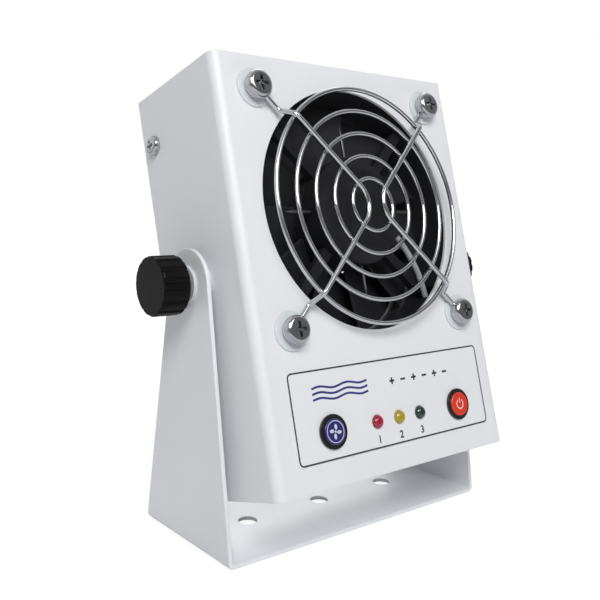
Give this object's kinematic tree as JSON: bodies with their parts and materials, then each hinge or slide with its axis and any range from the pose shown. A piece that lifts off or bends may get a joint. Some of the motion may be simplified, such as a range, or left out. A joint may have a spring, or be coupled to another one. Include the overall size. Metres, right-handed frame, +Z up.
{
  "type": "ionizing blower",
  "caption": "Benchtop ionizing blower: a leaning sheet-metal housing with a guarded fan, emitter needles and a push-button panel, tilting in a U bracket.",
  "frame": {"origin": "Middle of the stand's underside, on the axis of its centre hole.", "axes": "+Z up, the front faces -Y, +X is to the right of someone facing the front."},
  "size_m": [0.1524, 0.0939, 0.1688],
  "materials": {
    "white_paint": "fine satin powder coat",
    "black_plastic": "fine moulded",
    "chrome_wire": "bright plated",
    "chrome_screw": "bright plated",
    "steel": "zinc plated",
    "nylon": "smooth moulded",
    "brass": "turned",
    "panel_film": "printed film",
    "blue_cap": "polished",
    "red_cap": "polished",
    "switch_black": "polished",
    "lens_red": "clear tinted",
    "lens_yellow": "clear tinted",
    "lens_green": "clear tinted",
    "board_green": "solder mask",
    "potting": "cast resin",
    "laminations": "stacked",
    "magnet": "bonded ferrite",
    "needle_steel": "polished",
    "lead_grey": "silicone",
    "lead_dark": "vinyl"
  },
  "bodies": {
    "stand": {"bracket": "white_paint", "knob_washer_left": "nylon", "knob_washer_right": "nylon"},
    "housing": {"front_shell": "white_paint", "rear_shell": "white_paint", "spacer_washer_left": "nylon", "spacer_washer_right": "nylon", "pivot_insert_left": "brass", "pivot_insert_right": "brass", "control_overlay": "panel_film", "front_guard": "chrome_wire", "rear_guard": "chrome_wire", "front_guard_screws": "chrome_screw", "rear_guard_screws": "chrome_screw", "front_guard_washers": "nylon", "rear_guard_washers": "nylon", "rear_guard_nuts": "steel", "cover_screws": "chrome_screw", "cover_nuts": "steel", "emitter_frame": "black_plastic", "emitter_needles": "needle_steel", "hv_lead": "lead_grey", "hv_module": "potting", "module_screws": "steel", "fan_frame": "black_plastic", "fan_bearings": "steel", "fan_stator": "laminations", "fan_circuit_board": "board_green", "fan_lead": "lead_dark", "control_board": "board_green", "board_standoffs": "brass", "board_screws": "steel", "board_capacitors": "switch_black", "board_headers": "nylon", "led_1_red": "lens_red", "led_2_yellow": "lens_yellow", "led_3_green": "lens_green", "fan_switch_body": "switch_black", "power_switch_body": "switch_black", "switch_nuts": "steel", "power_jack": "switch_black", "power_jack_nut": "steel", "power_lead": "lead_dark", "module_lead": "lead_dark"},
    "fan_rotor": {"fan_impeller": "black_plastic", "fan_magnet": "magnet", "fan_shaft": "steel"},
    "knob_left": {"knob_left_grip": "black_plastic", "knob_left_stud": "steel"},
    "knob_right": {"knob_right_grip": "black_plastic", "knob_right_stud": "steel"},
    "fan_button_cap": {"fan_button": "blue_cap"},
    "power_button_cap": {"power_button": "red_cap"}
  },
  "joints": [
    {"name": "housing_tilt", "type": "hinge", "parent": "stand", "child": "housing", "pos_m": [0, 0, 0.09152], "axis": [1, 0, 0], "range_deg": [-73.5, 106.5]},
    {"name": "fan_spin", "type": "hinge", "parent": "housing", "child": "fan_rotor", "pos_m": [0, 0.00568, 0.1107], "axis": [0, -0.9588, 0.284], "continuous": true},
    {"name": "knob_left_turn", "type": "hinge", "parent": "housing", "child": "knob_left", "pos_m": [-0.07, 0, 0.09152], "axis": [-1, 0, 0], "range_deg": [0, 360]},
    {"name": "knob_right_turn", "type": "hinge", "parent": "housing", "child": "knob_right", "pos_m": [0.07, 0, 0.09152], "axis": [1, 0, 0], "range_deg": [0, 360]},
    {"name": "fan_button_press", "type": "slide", "parent": "housing", "child": "fan_button_cap", "axis": [0, 0.9588, -0.284], "range_m": [0, 0.0015], "stiffness_N_per_m": 150},
    {"name": "power_button_press", "type": "slide", "parent": "housing", "child": "power_button_cap", "axis": [0, 0.9588, -0.284], "range_m": [0, 0.0015], "stiffness_N_per_m": 150}
  ]
}
